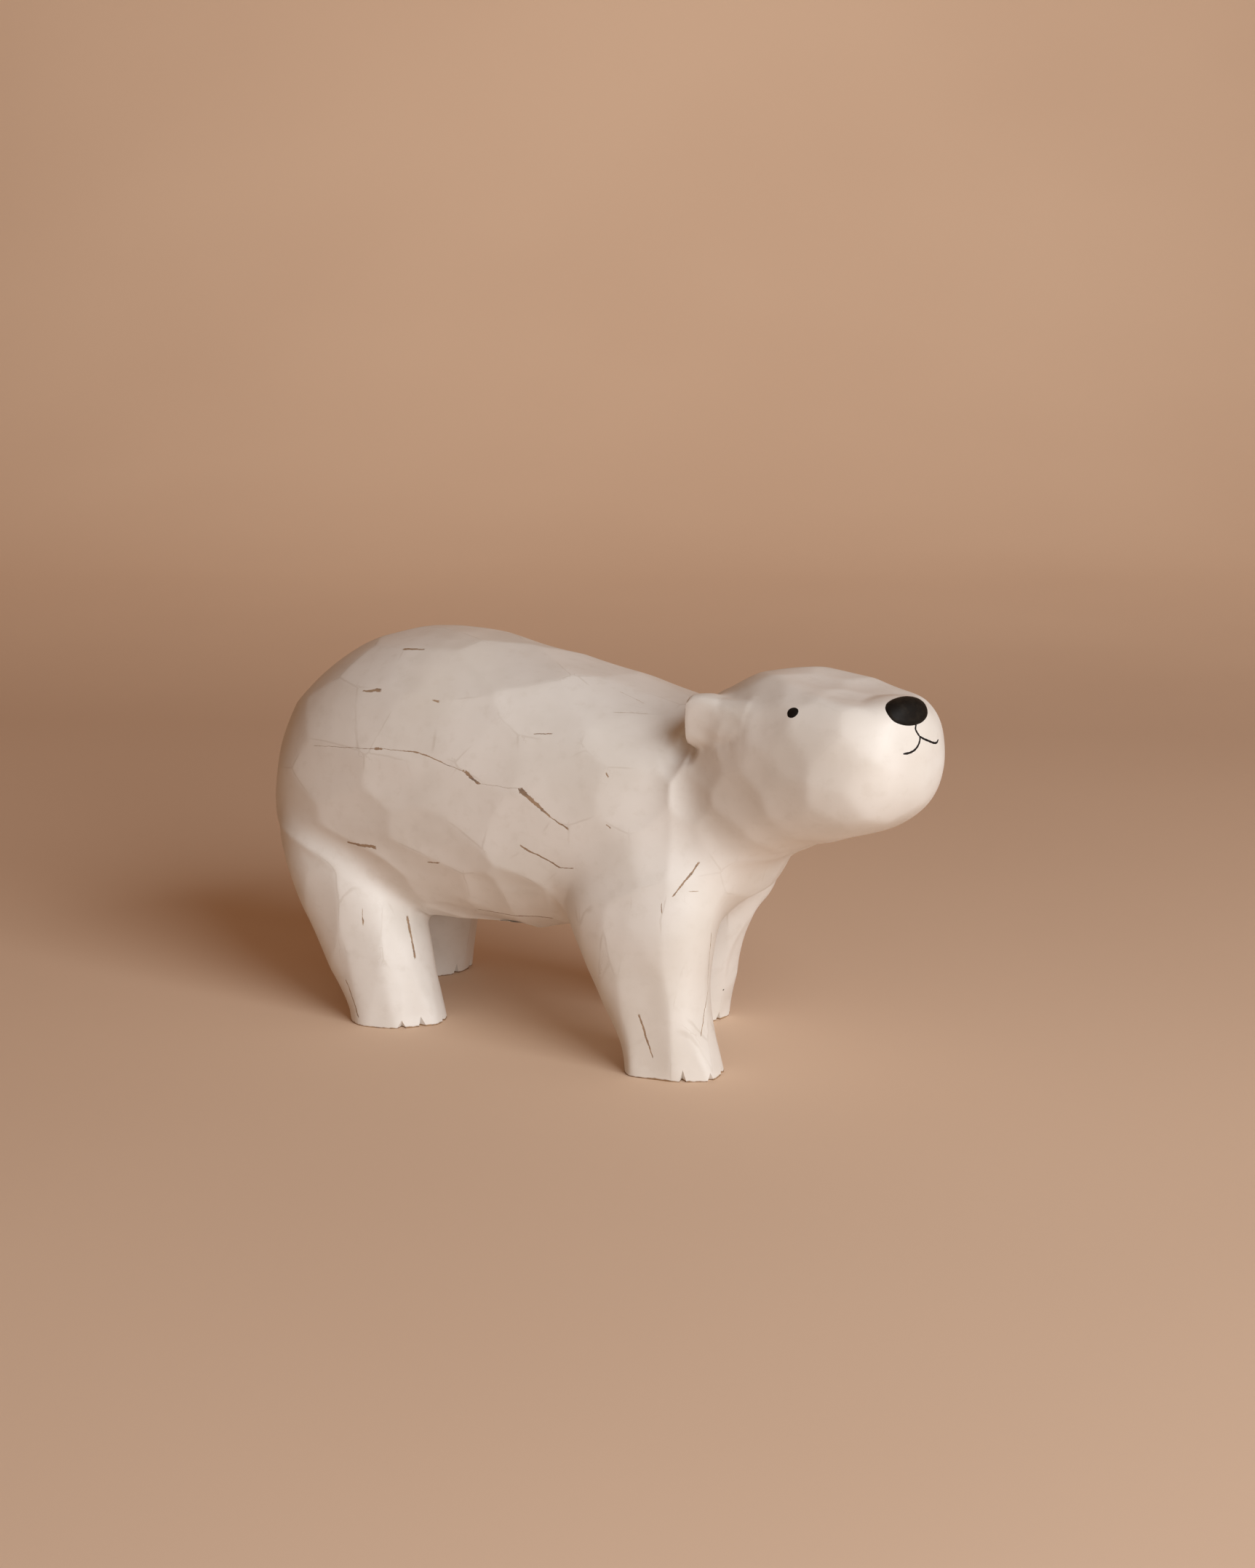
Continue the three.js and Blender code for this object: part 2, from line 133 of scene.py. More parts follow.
CROWN = ((26.0, 117.0), (64.0, 112.0))  # the flat of the crown, from over the ears to over the nose
LEG_FLATS = [  # broad planes down the legs: two points on the right leg, the way it faces in degrees to the
    # right, and the sides that have it
    ((31.6, -37.1, 5.2), (29.7, -37.9, 25.7), 80.0, (1, -1)),
    ((45.5, -34.4, 1.0), (41.0, -36.0, 45.0), 57.0, (1, -1)),
    ((-57.0, -37.0, 1.0), (-60.0, -37.5, 30.0), 74.0, (1, -1)),
    ((-50.2, -34.2, 1.0), (-54.8, -34.4, 28.9), 42.0, (1,)),
]
STRIDE = 25.0  # how far behind the right feet the left feet stand
TOES = (-54, -18, 18, 54)  # where the toes are parted, in degrees round the sole from the front
# An eye's middle in the head's frame, the skin's slope there in degrees, and the dot's half length, half height
# and turn in radians
EYE = {"x": 46.1, "y": 20.5, "z": 109.5, "slope": 39.0, "long": 1.72, "tall": 1.5, "roll": 0.35}
MOUTH = [  # as drawn on the front of the muzzle: left of the head's middle, and height
    [(-0.1, 107.4), (-0.7, 106.2), (-0.3, 105.1), (0.4, 104.1)],
    [(0.4, 104.1), (1.8, 103.3), (3.9, 102.4), (6.2, 101.5), (7.8, 101.3), (8.9, 101.9)],
    [(0.4, 104.1), (0.3, 103.3), (-0.6, 102.0), (-2.2, 100.9), (-4.2, 100.4), (-6.5, 100.4)],
]
MOUTH_WIDTH = 0.6
SHARP = math.radians(38)  # the figure's own edges over this angle stay sharp

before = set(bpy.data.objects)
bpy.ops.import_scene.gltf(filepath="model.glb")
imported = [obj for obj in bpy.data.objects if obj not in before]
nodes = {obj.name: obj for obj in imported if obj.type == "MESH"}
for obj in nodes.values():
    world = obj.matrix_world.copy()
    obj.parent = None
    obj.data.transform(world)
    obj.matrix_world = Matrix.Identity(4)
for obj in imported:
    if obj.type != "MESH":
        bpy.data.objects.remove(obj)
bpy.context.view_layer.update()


# ---------------------------------------------------------------- mesh helpers

def coords(mesh):
    co = np.empty(len(mesh.vertices) * 3)
    mesh.vertices.foreach_get("co", co)
    return co.reshape(-1, 3)


def normals_of(mesh):
    n = np.empty(len(mesh.vertices) * 3, np.float32)
    mesh.vertices.foreach_get("normal", n)
    return n.reshape(-1, 3).astype(float)


def edges_of(mesh):
    e = np.empty(len(mesh.edges) * 2, np.int32)
    mesh.edges.foreach_get("vertices", e)
    return e.reshape(-1, 2)


def move_to(mesh, co):
    mesh.vertices.foreach_set("co", co.ravel())
    mesh.update()


def linked(mesh, name):
    obj = bpy.data.objects.new(name, mesh)
    bpy.context.scene.collection.objects.link(obj)
    return obj


def mesh_of(name, verts, faces):
    mesh = bpy.data.meshes.new(name)
    mesh.from_pydata([tuple(v) for v in verts], [], [tuple(f) for f in faces])
    mesh.update()
    return mesh


def swollen(names, swell):
    """One mesh of several CAD nodes, each grown by swell along its normals."""
    whole = bmesh.new()
    for name in names:
        part = bmesh.new()
        part.from_mesh(nodes[name].data)
        bmesh.ops.remove_doubles(part, verts=part.verts, dist=1e-6)
        bmesh.ops.recalc_face_normals(part, faces=part.faces)
        part.normal_update()
        for v in part.verts:
            v.co += v.normal * (swell * MM)
        grown = bpy.data.meshes.new("grown")
        part.to_mesh(grown)
        part.free()
        whole.from_mesh(grown)
        bpy.data.meshes.remove(grown)
    mesh = bpy.data.meshes.new("whole")
    whole.to_mesh(mesh)
    whole.free()
    return mesh


def applied(obj, modifier_type, **settings):
    """The object's mesh with one modifier applied, as a new mesh."""
    modifier = obj.modifiers.new("step", modifier_type)
    for key, value in settings.items():
        setattr(modifier, key, value)
    graph = bpy.context.evaluated_depsgraph_get()
    made = bpy.data.meshes.new_from_object(obj.evaluated_get(graph))
    obj.modifiers.remove(modifier)
    return made


def remeshed(mesh, grid):
    obj = linked(mesh, "step")
    made = applied(obj, "REMESH", mode="VOXEL", voxel_size=grid * MM)
    bpy.data.objects.remove(obj)
    return largest_shell(made)


def largest_shell(mesh):
    bm = bmesh.new()
    bm.from_mesh(mesh)
    unseen, shells = set(bm.verts), []
    while unseen:
        start = unseen.pop()
        shell, waiting = {start}, [start]
        while waiting:
            v = waiting.pop()
            for e in v.link_edges:
                w = e.other_vert(v)
                if w in unseen:
                    unseen.discard(w)
                    shell.add(w)
                    waiting.append(w)
        shells.append(shell)
    shells.sort(key=len)
    for shell in shells[:-1]:
        bmesh.ops.delete(bm, geom=list(shell), context="VERTS")
    bm.to_mesh(mesh)
    bm.free()
    mesh.update()
    return mesh


def averager(mesh):
    """A function that gives each vertex the mean of its neighbours' places."""
    e = edges_of(mesh)
    size = len(mesh.vertices)
    at, to = np.concatenate([e[:, 0], e[:, 1]]), np.concatenate([e[:, 1], e[:, 0]])
    count = np.bincount(at, minlength=size)
    return lambda co: np.stack([np.bincount(at, co[to, k], size) / count for k in range(3)], 1)


def smoothed(mesh, rounds, keep=True, share=1.0):
    """Evens out the skin by a share at each vertex. With keep, every second step undoes the shrinking."""
    co, mean = coords(mesh), averager(mesh)
    share = np.broadcast_to(share, len(co))[:, None]
    for step in range(rounds):
        co = co + share * (-0.53 if keep and step % 2 else 0.5) * (mean(co) - co)
    move_to(mesh, co)


def evened(mesh, rounds, share):
    """Evens out the solids' own small faces and keeps the broad shape."""
    start, mean = coords(mesh), averager(mesh)
    share = share[:, None]
    co = start
    for _ in range(rounds):
        co = co + 0.5 * share * (mean(co) - co)
    move_to(mesh, co)
    normals = normals_of(mesh)
    lost = np.repeat(((start - co) * normals).sum(1)[:, None], 3, 1)
    for _ in range(3 * rounds):
        lost = lost + 0.5 * (mean(lost) - lost)
    move_to(mesh, co + normals * lost)


def filled_creases(mesh, rounds, share):
    """Rounds out hollow creases by a share at each vertex, and leaves the rest of the skin where it is."""
    start, mean, normals = coords(mesh), averager(mesh), normals_of(mesh)
    co = start
    for _ in range(rounds):
        co = co + 0.9 * (mean(co) - co)
    out = np.maximum(((co - start) * normals).sum(1), 0) * share
    move_to(mesh, start + normals * out[:, None])


def smoothstep(low, high, x):
    t = np.clip((x - low) / (high - low), 0, 1)
    return t * t * (3 - 2 * t)


def turn_z(points, degrees):
    a = math.radians(degrees)
    c, s = math.cos(a), math.sin(a)
    x, y, z = points[..., 0], points[..., 1], points[..., 2]
    return np.stack([c * x - s * y, s * x + c * y, z], -1)


def to_head(points):
    """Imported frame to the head's own: x ahead of the nape, y to its left."""
    return turn_z(points - np.array([NAPE_X, 0, 0]), HEAD_TURN)


def from_head(points):
    return turn_z(np.asarray(points, float), -HEAD_TURN) + np.array([NAPE_X, 0, 0])


# ---------------------------------------------------------------- the figure in one piece

WHITE = ["torso", "head", "ear_right", "ear_left", "tail"]
LEGS = [f"leg_{end}_{side}" for end in ("front", "rear") for side in ("right", "left")]
FILLING = [n for n in nodes if "dowel" in n or "peg" in n] + ["eye_right", "eye_left", "mouth_line", "nose"]


def ahead_of_joint(points):
    """How far a point is ahead of the plane where the head is glued on."""
    lean, turn = math.radians(NECK["lean"]), math.radians(NECK["turn"])
    normal = (math.cos(lean) * math.cos(turn), -math.cos(lean) * math.sin(turn), math.sin(lean))
    return (points - np.array([NECK["x"], 0, NECK["z"]])) @ np.array(normal)


def near_ear(points, spare=0.0):
    h = to_head(points)
    across, along, up = np.abs(h[..., 1]), h[..., 0], h[..., 2]
    return (across > 19 - spare) & (along > 7 - spare) & (along < 31 + spare) & (up > 94 - spare)


def flattened(mesh, low, high, faces, side):
    """Shaves one leg down to a plane through two points; side is 1 for the right leg and -1 for its mirror."""
    mirror = np.array([1, side, 1])
    a = math.radians(faces)
    level = np.array([math.sin(a), math.cos(a), 0])
    normal = np.cross(high - low, level) * mirror
    normal *= np.sign(normal[1] * -side) / np.linalg.norm(normal)
    points = coords(mesh) / MM
    over = (points - low * mirror) @ normal
    near = (np.abs(points[:, 0] - low[0] - 4) < 30) & (points[:, 1] * side < -8)
    share = near * (1 - smoothstep(28, 44, points[:, 2])) * (1 - smoothstep(14, 20, over))
    cut = 0.5 * np.log1p(np.exp(np.clip(over / 0.5, -30, 30)))
    move_to(mesh, (points - normal * (cut * share)[:, None]) * MM)


def flat_crown(mesh):
    """Planes the top of the head down to one flat, from over the ears to over the nose."""
    (x0, z0), (x1, z1) = CROWN
    normal = np.array([z0 - z1, 0, x1 - x0]) / math.hypot(z0 - z1, x1 - x0)
    points = coords(mesh) / MM
    h = to_head(points)
    over = (h - (x0, 0, z0)) @ normal
    from_nose = np.linalg.norm(h - np.array(NOSE["centre"]), axis=1)
    share = smoothstep(14, 24, h[:, 0]) * (ahead_of_joint(points) > -4) * smoothstep(6, 13, from_nose)
    cut = 0.4 * np.log1p(np.exp(np.clip(over / 0.4, -30, 30)))
    move_to(mesh, (points - turn_z(normal, -HEAD_TURN) * (cut * share)[:, None]) * MM)


def add_ear_bridges(mesh):
    """Solid wood between each ear and the cheek, so that the ear's face runs on into the side of the head."""
    bm = bmesh.new()
    bm.from_mesh(mesh)
    for side in (-1, 1):
        corners = [(x, side * y, z) for x, profile in EAR_BRIDGE.items() for z, y in profile]
        for x, profile in EAR_BRIDGE.items():
            corners += [(x, side * BRIDGE_INNER, z) for z in (profile[0][0], profile[-1][0])]
        hull = bmesh.new()
        for corner in from_head(corners):
            hull.verts.new(Vector(corner) * MM)
        made = bmesh.ops.convex_hull(hull, input=hull.verts[:])
        inner = {v for v in made["geom_interior"] if isinstance(v, bmesh.types.BMVert)}
        bmesh.ops.delete(hull, geom=list(inner), context="VERTS")
        bmesh.ops.recalc_face_normals(hull, faces=hull.faces[:])
        solid = bpy.data.meshes.new("bridge")
        hull.to_mesh(solid)
        hull.free()
        bm.from_mesh(solid)
    bm.to_mesh(mesh)
    bm.free()


def carcass():
    """The bear before it is knife-cut: one skin over all the solids, run together where the wood flows on."""
    mesh = swollen(WHITE + LEGS + FILLING, SWELL)
    add_ear_bridges(mesh)
    co = coords(mesh)
    co[co[:, 2] < 0.6 * MM, 2] -= SOLE_SPARE * MM
    move_to(mesh, co)
    mesh = remeshed(mesh, GRID)
    points = coords(mesh) / MM
    ear = near_ear(points)
    smoothed(mesh, 10, share=np.where(ear, 0.35, 1.0))
    evened(mesh, 46, share=np.where(ear, 0.04, 1.0))
    move_to(mesh, coords(mesh) - normals_of(mesh) * (SWELL * MM))

    points, up = coords(mesh) / MM, normals_of(mesh)[:, 2]
    x, y, z = points.T
    off_middle = np.abs(y)
    ahead = ahead_of_joint(points)
    neck = smoothstep(-52, -22, ahead) * (1 - smoothstep(30, 56, ahead)) * (1 - 0.7 * smoothstep(0.5, 0.9, up))
    neck = neck * np.where(near_ear(points, 3.0), 0.0, 1.0)
    filled_creases(mesh, 1000, neck)
    shoulder = smoothstep(-14, 0, x) * smoothstep(34, 46, z) * (1 - smoothstep(70, 84, z))
    shoulder = shoulder * smoothstep(12, 20, off_middle)
    haunch = (1 - smoothstep(-50, -40, x)) * smoothstep(40, 50, z) * 0.35
    filled_creases(mesh, 90, np.maximum(shoulder, haunch))
    breast = smoothstep(20, 34, x) * smoothstep(30, 42, z) * (1 - smoothstep(74, 88, z))
    breast = breast * (1 - smoothstep(0, 10, ahead))
    filled_creases(mesh, 300, breast)
    smoothed(mesh, 120, keep=False, share=breast * 0.8)
    below_ear = smoothstep(-50, -14, ahead) * (1 - smoothstep(16, 42, ahead)) * (1 - smoothstep(84, 96, z))
    below_ear = 0.9 * below_ear * smoothstep(40, 64, z) * smoothstep(8, 18, off_middle)
    smoothed(mesh, 200, keep=False, share=below_ear)

    h = to_head(points)
    along, across = h[:, 0], np.abs(h[:, 1])
    before_ear = smoothstep(17, 22, along) * (1 - smoothstep(44, 56, along)) * smoothstep(8, 14, across)
    filled_creases(mesh, 150, before_ear * smoothstep(86, 92, z))
    in_ear = smoothstep(9.2, 10.4, along) * smoothstep(94.5, 96, z) * smoothstep(15.5, 17, across)
    from_pocket = (np.stack([along, across, z], 1) - EAR_POCKET["centre"]) / EAR_POCKET["size"]
    pocket = (1 - smoothstep(0.3, 1.0, np.linalg.norm(from_pocket, axis=1))) * (1 - in_ear)
    move_to(mesh, coords(mesh) - normals_of(mesh) * (pocket * EAR_POCKET["deep"] * MM)[:, None])

    for low, high, faces, sides in LEG_FLATS:
        for side in sides:
            behind = np.array([0 if side > 0 else STRIDE, 0, 0])
            flattened(mesh, low - behind, high - behind, faces, side)
    flat_crown(mesh)
    from_nose = np.linalg.norm(h - np.array(NOSE["centre"]), axis=1)
    smoothed(mesh, 30, keep=False, share=1 - smoothstep(7, 14, from_nose))
    return mesh


figure = carcass()
base = coords(figure) / MM
base_normals = normals_of(figure)


# ---------------------------------------------------------------- knife cuts

def stretched(points):
    """A space where the cuts are round: they run along the back and down the legs."""
    p = np.array(points, float)
    low = np.minimum(p[..., 2] - 50, 0)
    p[..., 2] = np.maximum(p[..., 2], 50) + 0.3 * low
    body = smoothstep(46, 62, points[..., 2]) * (1 - smoothstep(30, 50, points[..., 0]))
    p[..., 0] = p[..., 0] * (1 - 0.28 * body)
    return p


def region(points):
    """Which way of cutting a point belongs to, as an index into CUTS."""
    ahead = ahead_of_joint(points)
    leg = (points[..., 2] < 44) & (ahead < 4)
    return np.where(near_ear(points), 3, np.where(leg, 2, np.where(ahead > -2, 1, 0)))


kinds = list(CUTS.values())
skin_tree = BVHTree.FromPolygons([Vector(p) for p in base], [tuple(p.vertices) for p in figure.polygons])


def on_skin(point):
    place, normal, _, _ = skin_tree.find_nearest(Vector(point))
    return np.array(place), np.array(normal)


def ridge_seeds():
    """A pair of cuts on either side of each worn line, so that a ridge runs along it."""
    seeds = []
    for start, end, *_ in RIDGES + WORN:
        start, end = np.array(start), np.array(end)
        along = end - start
        steps = max(1, round(np.linalg.norm(along) / 11))
        for i in range(steps):
            middle, normal = on_skin(start + along * ((i + 0.5) / steps))
            if near_ear(middle):
                continue
            across = np.cross(normal, along / np.linalg.norm(along))
            away = 0.5 * kinds[int(region(middle))]["apart"] * rng.uniform(0.85, 1.0)
            pair = [on_skin(middle + side * away * across)[0] for side in (-1, 1)]
            near = [min((np.linalg.norm(p - q) for q in seeds), default=99) for p in pair]
            if min(near) > 0.45 * away * 2:
                seeds += pair
    return seeds


def scattered_seeds(seeds):
    """Fills the rest of the skin with cuts, none closer to another than its own kind allows."""
    kept = [stretched(np.array(p)) for p in seeds]
    places = list(seeds)
    for i in rng.permutation(len(base))[:24000]:
        p = base[i]
        apart = kinds[int(region(p))]["apart"] * rng.uniform(0.8, 1.1)
        q = stretched(p)
        if kept and np.min(np.linalg.norm(np.array(kept) - q, axis=1)) < apart:
            continue
        kept.append(q)
        places.append(p)
    return np.array(places)


seeds = scattered_seeds(ridge_seeds())
seed_normals = np.array([on_skin(p)[1] for p in seeds])
seed_round = stretched(seeds)
seed_kind = region(seeds)
seed_depth = rng.uniform(0, 1, len(seeds)) * np.array([kinds[k]["spread"] for k in seed_kind])
seed_hollow = np.array([kinds[k]["hollow"] for k in seed_kind]) * rng.uniform(0.85, 1.2, len(seeds))
seed_tilt = rng.normal(0, 0.014, (len(seeds), 3))


def cut_heights(points, normals):
    """For each point the five deepest cuts: their heights over the skin, and which cuts they are."""
    heights, which = [], []
    for start in range(0, len(points), 4000):
        p, n = points[start:start + 4000], normals[start:start + 4000]
        q = stretched(p)[:, None] - seed_round[None]
        h = (q ** 2).sum(-1) / (2 * seed_hollow) - seed_depth
        h += (q * seed_tilt[None]).sum(-1) * np.exp(-(q ** 2).sum(-1) / 400)
        h += 3.0 * np.maximum(0, 0.35 - n @ seed_normals.T)
        best = np.argpartition(h, 5, axis=1)[:, :5]
        h = np.take_along_axis(h, best, 1)
        order = np.argsort(h, axis=1)
        heights.append(np.take_along_axis(h, order, 1))
        which.append(np.take_along_axis(best, order, 1))
    return np.concatenate(heights), np.concatenate(which)


def calm(points):
    """Less cutting on the front of the muzzle, round the nose and the mouth, and less near the sole."""
    h = to_head(points)
    face = smoothstep(50, 60, h[:, 0]) * (1 - smoothstep(10, 15, np.abs(h[:, 1])))
    face = face * smoothstep(96, 102, h[:, 2])
    return (1 - 0.75 * face) * (0.35 + 0.65 * smoothstep(0, 4, points[:, 2]))


def meeting(points):
    """How softly neighbouring cuts meet, easing from one kind of cutting to the next."""
    body, head, leg, ear = [k["round"] for k in kinds]
    ahead = ahead_of_joint(points)
    soft = body + (head - body) * smoothstep(-20, 14, ahead)
    soft += (leg - soft) * (1 - smoothstep(36, 52, points[:, 2])) * (1 - smoothstep(-6, 12, ahead))
    return np.where(near_ear(points), ear, soft)


def carve(mesh):
    """Moves the skin to the deepest cut at each point, rounded where two cuts meet."""
    heights, _ = cut_heights(base, base_normals)
    soft = meeting(base)
    depth = heights[:, 0] - soft * np.log(np.exp((heights[:, :1] - heights) / soft[:, None]).sum(1))
    depth = (depth - 0.15) * calm(base)
    move_to(mesh, (base + base_normals * depth[:, None]) * MM)


carve(figure)
smoothed(figure, 2)


def cut_level(mesh):
    """Cuts the feet level at the ground."""
    bm = bmesh.new()
    bm.from_mesh(mesh)
    everything = bm.verts[:] + bm.edges[:] + bm.faces[:]
    bmesh.ops.bisect_plane(bm, geom=everything, plane_co=(0, 0, 0), plane_no=(0, 0, 1), clear_inner=True)
    rims = [e for e in bm.edges if e.is_boundary]
    bmesh.ops.triangle_fill(bm, edges=rims, use_beauty=True)
    bmesh.ops.triangulate(bm, faces=bm.faces[:])
    bmesh.ops.recalc_face_normals(bm, faces=bm.faces[:])
    bm.to_mesh(mesh)
    bm.free()
    mesh.update()


cut_level(figure)


def toe_notches():
    """Small uneven cuts up the front edge of each sole."""
    bm = bmesh.new()
    for name in LEGS:
        low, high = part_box(name)
        foot = figure_sole(low, high)
        middle, half = (foot.min(0) + foot.max(0)) / 2, (foot.max(0) - foot.min(0)) / 2
        for angle in TOES:
            a = math.radians(angle + rng.uniform(-4, 4))
            way = np.array([math.cos(a), math.sin(a)])
            round_sole = np.arctan2(*((foot - middle) / half).T[::-1])
            rim = foot[np.abs(round_sole - a).argmin()]
            wide, tall = rng.uniform(2.2, 4.2), rng.uniform(3.6, 6.4)
            tip = (*(rim + way * 1.2), tall)
            corners = []
            for out, across in ((-3.0, 0), (2.4, -wide), (2.4, wide)):
                spot = rim + way * out + np.array([-way[1], way[0]]) * across
                corners.append((*spot, -1.0))
            verts = [bm.verts.new(Vector(c) * MM) for c in [tip, *corners]]
            for f in ((0, 1, 2), (0, 2, 3), (0, 3, 1), (1, 3, 2)):
                bm.faces.new([verts[i] for i in f])
    bmesh.ops.recalc_face_normals(bm, faces=bm.faces[:])
    mesh = bpy.data.meshes.new("notches")
    bm.to_mesh(mesh)
    bm.free()
    return mesh


def figure_sole(low, high):
    """Outline points of the sole inside one leg's box, in millimetres."""
    points = coords(figure) / MM
    low, high = np.array(low) / MM - 2, np.array(high) / MM + 2
    inside = (points[:, 2] < 0.05) & (points[:, :2] > low[:2]).all(1) & (points[:, :2] < high[:2]).all(1)
    return points[inside][:, :2]


# ---------------------------------------------------------------- parting at the glue joints

def block(x0, x1, y0, y1, z0, z1):
    """A box that a piece is parted with, between two planes each way, given in either order."""
    ends = [sorted(pair) for pair in ((x0, x1), (y0, y1), (z0, z1))]
    bm = bmesh.new()
    bmesh.ops.create_cube(bm, size=1)
    for v in bm.verts:
        v.co = [ends[k][0 if v.co[k] < 0 else 1] * MM for k in range(3)]
    mesh = bpy.data.meshes.new("block")
    bm.to_mesh(mesh)
    bm.free()
    return mesh


def combined(a, b, operation):
    first, second = linked(a, "first"), linked(b, "second")
    made = applied(first, "BOOLEAN", object=second, operation=operation, solver="MANIFOLD")
    bpy.data.objects.remove(first)
    bpy.data.objects.remove(second)
    return made


figure = combined(figure, toe_notches(), "DIFFERENCE")
figure.set_sharp_from_angle(angle=SHARP)


def ahead_of_neck():
    mesh = block(0, FAR, -FAR, FAR, -FAR, FAR)
    pose = (
        Matrix.Translation(Vector((NECK["x"], 0, NECK["z"])) * MM)
        @ Matrix.Rotation(math.radians(-NECK["turn"]), 4, "Z")
        @ Matrix.Rotation(math.radians(-NECK["lean"]), 4, "Y")
    )
    mesh.transform(pose)
    return mesh


def leg_room(name):
    end, side = name.rsplit("_", 1)
    x0, x1, top = LEG_ROOMS[end]
    y = -1 if side == "right" else 1
    x_far = FAR if end == "leg_front" else -FAR
    rebate = block(x0, x1, y * LEG_INNER, y * FAR, -FAR, top)
    quarter = block(MIDDLE_X, x_far, 0, y * FAR, -FAR, UNDER_BELLY)
    return combined(rebate, quarter, "UNION")


def beside_head(side):
    mesh = block(-FAR, FAR, side * EAR_ROOT, side * FAR, -FAR, FAR)
    mesh.transform(Matrix.Translation((NAPE_X * MM, 0, 0)) @ Matrix.Rotation(math.radians(-HEAD_TURN), 4, "Z"))
    return mesh


def parted():
    """The figure's pieces by name, parted where the CAD solids meet."""
    pieces = {}
    head = combined(figure.copy(), ahead_of_neck(), "INTERSECT")
    rest = combined(figure.copy(), ahead_of_neck(), "DIFFERENCE")
    for name, side in (("ear_right", -1), ("ear_left", 1)):
        room = combined(swollen([name], 1.1), beside_head(side), "INTERSECT")
        pieces[name] = combined(head.copy(), room.copy(), "INTERSECT")
        head = combined(head, room, "DIFFERENCE")
    for name in LEGS:
        pieces[name] = combined(rest.copy(), leg_room(name), "INTERSECT")
    for name in LEGS:
        rest = combined(rest, leg_room(name), "DIFFERENCE")
    room = combined(swollen(["tail"], 1.1), block(-FAR, TAIL_FLAT, -FAR, FAR, -FAR, FAR), "INTERSECT")
    pieces["tail"] = combined(rest.copy(), room.copy(), "INTERSECT")
    pieces["torso"] = combined(rest, room, "DIFFERENCE")
    pieces["head"] = head
    return pieces


# ---------------------------------------------------------------- what the paint needs to know

def triangulate(mesh):
    bm = bmesh.new()
    bm.from_mesh(mesh)
    bmesh.ops.triangulate(bm, faces=bm.faces[:])
    bm.to_mesh(mesh)
    bm.free()


triangulate(figure)
figure_tree = BVHTree.FromPolygons(
    [v.co / MM for v in figure.vertices], [tuple(p.vertices) for p in figure.polygons],
)
figure_points = coords(figure) / MM
figure_faces = np.array([tuple(p.vertices) for p in figure.polygons])
figure_corners = np.array([n.vector for n in figure.corner_normals]).reshape(-1, 3, 3)
line_starts = np.array([w[0] for w in WORN])
line_ends = np.array([w[1] for w in WORN])
line_facing = np.array([on_skin(m)[1] for m in (line_starts + line_ends) / 2])


def figure_normals(face, points):
    """The whole figure's smooth normals at points on one of its faces."""
    pa, pb, pc = figure_points[figure_faces[face]]
    v0, v1, v2 = pb - pa, pc - pa, points - pa
    d00, d01, d11, d20, d21 = v0 @ v0, v0 @ v1, v1 @ v1, v2 @ v0, v2 @ v1
    span = max(d00 * d11 - d01 * d01, 1e-12)
    v, w = (d11 * d20 - d01 * d21) / span, (d00 * d21 - d01 * d20) / span
    n = np.stack([1 - v - w, v, w], 1) @ figure_corners[face]
    return n / np.linalg.norm(n, axis=1)[:, None]


def add_attribute(mesh, name, kind, values):
    layer = mesh.attributes.new(name, kind, "POINT")
    layer.data.foreach_set("vector" if kind == "FLOAT_VECTOR" else "value", values.astype(np.float32).ravel())


def ridge_layer(points, normals):
    """Signed distance across the nearest ridge, distance to the nearest meeting of three cuts, and a
    number that is 1 near a ridge."""
    h, which = cut_heights(points, normals)
    apart = [np.linalg.norm(seed_round[which[:, 0]] - seed_round[which[:, k]], axis=1) for k in (1, 2)]
    slope = [np.maximum(a, 2) / seed_hollow[which[:, 0]] for a in apart]
    across = (h[:, 1] - h[:, 0]) / slope[0]
    corner = (h[:, 2] - h[:, 0]) / slope[1]
    sign = np.where(which[:, 0] < which[:, 1], 1.0, -1.0)
    return np.stack([sign * across, corner, (across < 2.0).astype(float)], 1)


def worn_layer(points):
    """Position in the nearest worn line's own coordinates, and whether a line is near at all. They are how far
    across it, how far past its nearer end, which is negative inside the line, and its half width there."""
    along = line_ends - line_starts
    length = np.linalg.norm(along, axis=1)
    unit = along / length[:, None]
    rel = points[:, None] - line_starts[None]
    t = (rel * unit[None]).sum(-1)
    off = rel - np.clip(t, 0, length)[..., None] * unit[None]
    distance = np.linalg.norm(off, axis=-1)
    best = distance.argmin(1)
    rows = np.arange(len(points))
    side = np.cross(line_facing, unit)
    across = (rel[rows, best] * side[best]).sum(-1)
    near = distance[rows, best] < WORN_REACH
    widths = np.array([w[2:] for w in WORN]) / 2
    share = t[rows, best] / length[best]
    half = widths[best, 0] + (widths[best, 1] - widths[best, 0]) * np.clip(share, 0, 1)
    past = np.maximum(-t[rows, best], t[rows, best] - length[best])
    return np.stack([across, past, half], 1), near.astype(float)


